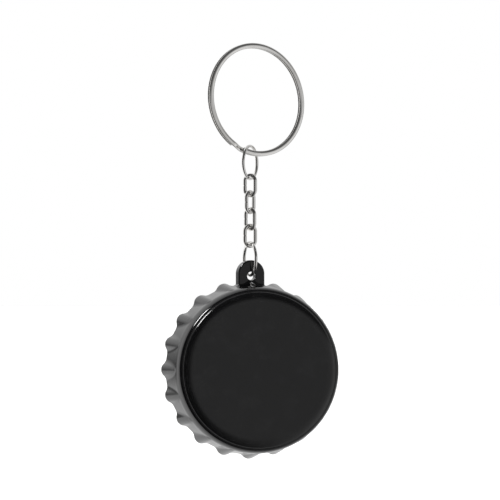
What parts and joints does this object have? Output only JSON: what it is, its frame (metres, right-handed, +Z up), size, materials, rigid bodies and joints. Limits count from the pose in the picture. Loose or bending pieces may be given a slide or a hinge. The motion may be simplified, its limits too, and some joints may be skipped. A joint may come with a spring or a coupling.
{
  "type": "keychain bottle opener",
  "caption": "Bottle opener shaped like a bottle's metal cap, in black plastic with a steel hooking plate inside, hung by a lug, a short link chain and a split ring.",
  "frame": {"origin": "the point inside the top of the split ring on which the part hangs", "axes": "+Z up along the hanging chain; -Y out of the cap's flat face; +Y out of its open side; +X to the right as seen from the face"},
  "size_m": [0.0439, 0.0186, 0.1017],
  "materials": {
    "body_plastic": "moulded gloss black",
    "face_plastic": "satin to gloss black",
    "plate_steel": "stamped and tumbled",
    "ring_nickel": "bright nickel plate",
    "chain_nickel": "bright nickel plate"
  },
  "bodies": {
    "split_ring": {"split_ring": "ring_nickel"},
    "top_jump_ring": {"top_jump_ring": "chain_nickel"},
    "chain_link_1": {"chain_link_1": "chain_nickel"},
    "chain_link_2": {"chain_link_2": "chain_nickel"},
    "chain_link_3": {"chain_link_3": "chain_nickel"},
    "chain_link_4": {"chain_link_4": "chain_nickel"},
    "bottom_jump_ring": {"bottom_jump_ring": "chain_nickel"},
    "cap": {"cap_body": "body_plastic", "front_cover": "face_plastic", "opener_plate": "plate_steel"}
  },
  "joints": [
    {"name": "split_ring_swing", "type": "hinge", "parent": "split_ring", "child": "top_jump_ring", "pos_m": [-0.00165, -0.00315, -0.02552], "axis": [0.9237, 0.3275, -0.1985], "range_deg": [-45, 45]},
    {"name": "chain_link_1_swing", "type": "hinge", "parent": "top_jump_ring", "child": "chain_link_1", "pos_m": [-0.00165, -0.00315, -0.03198], "axis": [0.6157, 0.788, 0], "range_deg": [-60, 60]},
    {"name": "chain_link_2_swing", "type": "hinge", "parent": "chain_link_1", "child": "chain_link_2", "pos_m": [-0.00165, -0.00315, -0.03608], "axis": [-0.7145, 0.6997, 0], "range_deg": [-60, 60]},
    {"name": "chain_link_3_swing", "type": "hinge", "parent": "chain_link_2", "child": "chain_link_3", "pos_m": [-0.00165, -0.00315, -0.04018], "axis": [-0.7705, -0.6374, 0], "range_deg": [-60, 60]},
    {"name": "chain_link_4_swing", "type": "hinge", "parent": "chain_link_3", "child": "chain_link_4", "pos_m": [-0.00165, -0.00315, -0.04428], "axis": [0.5388, -0.8425, 0], "range_deg": [-60, 60]},
    {"name": "bottom_ring_swing", "type": "hinge", "parent": "chain_link_4", "child": "bottom_jump_ring", "pos_m": [-0.00165, -0.00315, -0.04838], "axis": [0.9532, 0.3024, 0], "range_deg": [-60, 60]},
    {"name": "cap_swing", "type": "hinge", "parent": "bottom_jump_ring", "child": "cap", "pos_m": [-0.00165, -0.00315, -0.0555], "axis": [-0.1323, 0.9912, 0], "range_deg": [-80, 80]}
  ]
}
